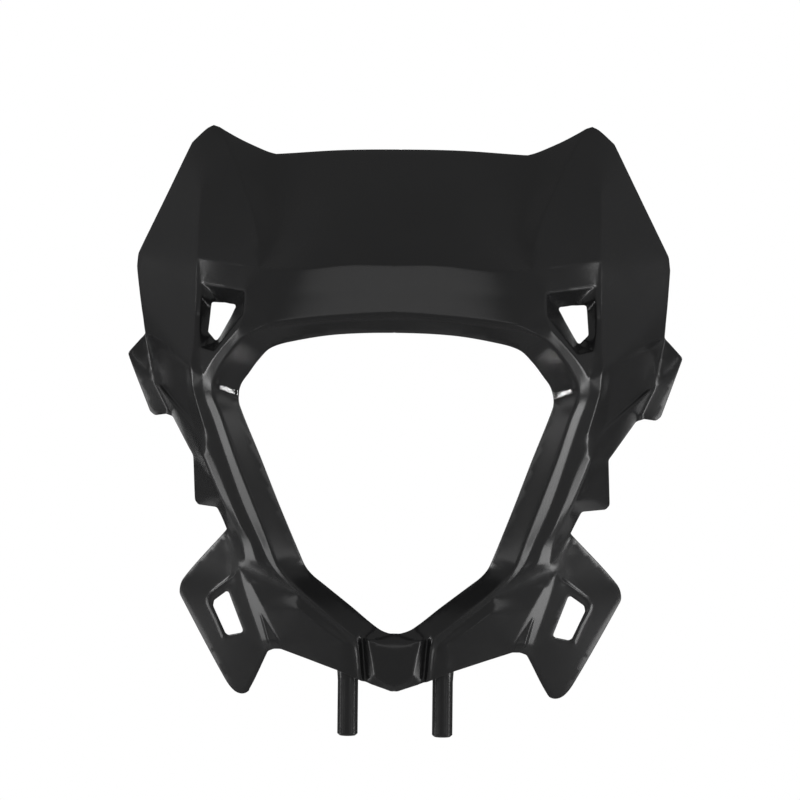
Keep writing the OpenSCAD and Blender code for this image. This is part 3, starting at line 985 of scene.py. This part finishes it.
# ------------------------------------------------------------------ material
def plastic(name):
    mat = bpy.data.materials.new(name)
    mat.use_nodes = True
    nt = mat.node_tree
    nt.nodes.clear()
    out = nt.nodes.new("ShaderNodeOutputMaterial")
    b = nt.nodes.new("ShaderNodeBsdfPrincipled")
    nt.links.new(b.outputs[0], out.inputs[0])
    co = nt.nodes.new("ShaderNodeTexCoord")
    big = nt.nodes.new("ShaderNodeTexNoise")
    big.inputs["Scale"].default_value = 60
    big.inputs["Detail"].default_value = 3
    nt.links.new(co.outputs["Object"], big.inputs["Vector"])
    ramp = nt.nodes.new("ShaderNodeMapRange")
    ramp.inputs["To Min"].default_value = 0.20
    ramp.inputs["To Max"].default_value = 0.235
    nt.links.new(big.outputs["Fac"], ramp.inputs["Value"])
    nt.links.new(ramp.outputs[0], b.inputs["Roughness"])
    tint = nt.nodes.new("ShaderNodeValToRGB")
    tint.color_ramp.elements[0].color = (0.0138, 0.0138, 0.0142, 1)
    tint.color_ramp.elements[1].color = (0.0168, 0.0168, 0.0174, 1)
    nt.links.new(big.outputs["Fac"], tint.inputs[0])
    nt.links.new(tint.outputs[0], b.inputs["Base Color"])
    grain = nt.nodes.new("ShaderNodeTexNoise")
    grain.inputs["Scale"].default_value = 1800
    grain.inputs["Detail"].default_value = 2
    nt.links.new(co.outputs["Object"], grain.inputs["Vector"])
    bump = nt.nodes.new("ShaderNodeBump")
    bump.inputs["Strength"].default_value = 0.2
    bump.inputs["Distance"].default_value = 0.00008
    nt.links.new(grain.outputs["Fac"], bump.inputs["Height"])
    nt.links.new(bump.outputs[0], b.inputs["Normal"])
    b.inputs["IOR"].default_value = 1.46
    return mat


black = plastic("black_moulding")
for ob in parts:
    ob.data.materials.clear()
    ob.data.materials.append(black)
    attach(ob, "root")
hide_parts("cowl")

# ------------------------------------------------------------ floor and light
ROOM = 0.31
LOW, BAR, SIDE, FILL, FRONT = 14.0, 0.74, 0.70, 0.40, 1.4
floor_mesh = bpy.data.meshes.new("floor")
s, zf = 0.62, -0.13
floor_mesh.from_pydata([(-s, -s, zf), (s, -s, zf), (s, s, zf), (-s, s, zf)], [], [(0, 1, 2, 3)])
floor = bpy.data.objects.new("floor", floor_mesh)
bpy.context.scene.collection.objects.link(floor)
fm = bpy.data.materials.new("floor_pale")
fm.use_nodes = True
fb = fm.node_tree.nodes["Principled BSDF"]
fb.inputs["Base Color"].default_value = (0.85, 0.85, 0.85, 1)
fb.inputs["Roughness"].default_value = 0.9
floor_mesh.materials.append(fm)

scene = bpy.context.scene
world = bpy.data.worlds.new("pale")
scene.world = world
world.use_nodes = True
wt = world.node_tree
bg = wt.nodes["Background"]
bg.inputs["Color"].default_value = (1, 1, 1, 1)
bg.inputs["Strength"].default_value = 1.0
room = wt.nodes.new("ShaderNodeBackground")
room.inputs["Color"].default_value = (1, 1, 1, 1)
room.inputs["Strength"].default_value = ROOM
where = wt.nodes.new("ShaderNodeTexCoord")
split = wt.nodes.new("ShaderNodeSeparateXYZ")
wt.links.new(where.outputs["Generated"], split.inputs[0])
dim = wt.nodes.new("ShaderNodeValToRGB")
stops = dim.color_ramp
for at, v in ((0.02, 1.0), (0.28, 0.85), (0.42, 0.64), (0.55, 0.44), (0.66, 0.30), (0.80, 0.15),
              (0.93, 0.09), (0.975, 0.13)):
    stops.elements.new(at).color = (v, v, v, 1)
stops.elements[0].position = 0.0
stops.elements[0].color = (1, 1, 1, 1)
stops.elements[-1].position = 1.0
stops.elements[-1].color = (0.8, 0.8, 0.8, 1)
wt.links.new(split.outputs["Y"], dim.inputs[0])
wt.links.new(dim.outputs[0], room.inputs["Color"])
seen = wt.nodes.new("ShaderNodeLightPath")
pick = wt.nodes.new("ShaderNodeMixShader")
wt.links.new(seen.outputs["Is Camera Ray"], pick.inputs[0])
wt.links.new(room.outputs[0], pick.inputs[1])
wt.links.new(bg.outputs[0], pick.inputs[2])
wt.links.new(pick.outputs[0], wt.nodes["World Output"].inputs["Surface"])


def area(name, loc, target, size, power, size_y=None):
    l = bpy.data.lights.new(name, "AREA")
    l.energy = power
    l.size = size
    if size_y:
        l.shape = "RECTANGLE"
        l.size_y = size_y
    o = bpy.data.objects.new(name, l)
    scene.collection.objects.link(o)
    o.location = loc
    d = Vector(target) - Vector(loc)
    o.rotation_euler = d.to_track_quat("-Z", "Y").to_euler()
    return o


MIDDLE = (0, 0, 0.16)


def hide(o):
    o.visible_camera = False
    return o


def low_panel(x, y, wide, deep, power):
    """Panel that lies just over the floor and shines up."""
    o = hide(area("low_panel", (x, y, -0.121), (x, y, 1), wide, power * wide * deep, deep))
    o.rotation_euler = (math.pi, 0, 0)


low_panel(0.690, -0.045, 0.52, 0.12, LOW * 1.3)
low_panel(-0.710, -0.020, 0.50, 0.12, LOW * 0.86)
low_panel(0.380, -0.035, 0.10, 0.11, LOW * 0.95)
low_panel(-0.402, 0.000, 0.115, 0.11, LOW * 0.58)
for side in (-1, 1):
    beam = hide(area("ledge_light", (-0.018, -0.086, -0.121), (side * 0.0815, -0.026, 0.1682),
                     0.02, BAR * 0.0004, 0.02))
    beam.data.spread = math.radians(4.4)
low_panel(-0.490, -0.700, 0.10, 0.20, LOW * 0.6)
low_panel(0.336, -0.640, 0.10, 0.20, LOW * 0.6)
hide(area("side_strip", (0.605, -0.215, 0.15), (0.08, -0.03, 0.17), 0.11, SIDE, 0.22))
hide(area("side_strip", (-0.623, -0.149, 0.15), (-0.08, -0.03, 0.17), 0.11, SIDE, 0.22))
hide(area("fill", (1.17, -0.95, -0.02), MIDDLE, 0.25, FILL, 0.3))
hide(area("fill", (-1.26, -0.82, -0.02), MIDDLE, 0.25, FILL, 0.3))
hide(area("front_soft", (0, -1.6, 0.80), MIDDLE, 1.6, FRONT, 0.25))
hide(area("back_soft", (0, 1.7, 0.35), MIDDLE, 1.5, 3.0, 1.0))

# -------------------------------------------------------------------- camera
TURN = math.radians(3.4)
FAR = 1.4
cam_data = bpy.data.cameras.new("camera")
cam_data.sensor_width = 36
cam_data.lens = 2857.14 / 800 * 36
cam_data.shift_x = 0.0021
cam_data.shift_y = 0.0006
cam_data.clip_end = 20
cam = bpy.data.objects.new("camera", cam_data)
scene.collection.objects.link(cam)
cam.location = (FAR * math.sin(TURN), -FAR * math.cos(TURN), 0.1644)
cam.rotation_mode = "QUATERNION"
look = Vector((-math.sin(TURN), math.cos(TURN), 0))
q = look.to_track_quat("-Z", "Y")
from mathutils import Quaternion
cam.rotation_quaternion = Quaternion(look, math.radians(-0.62)) @ q
scene.camera = cam
scene.view_settings.view_transform = "Standard"
scene.view_settings.look = "None"
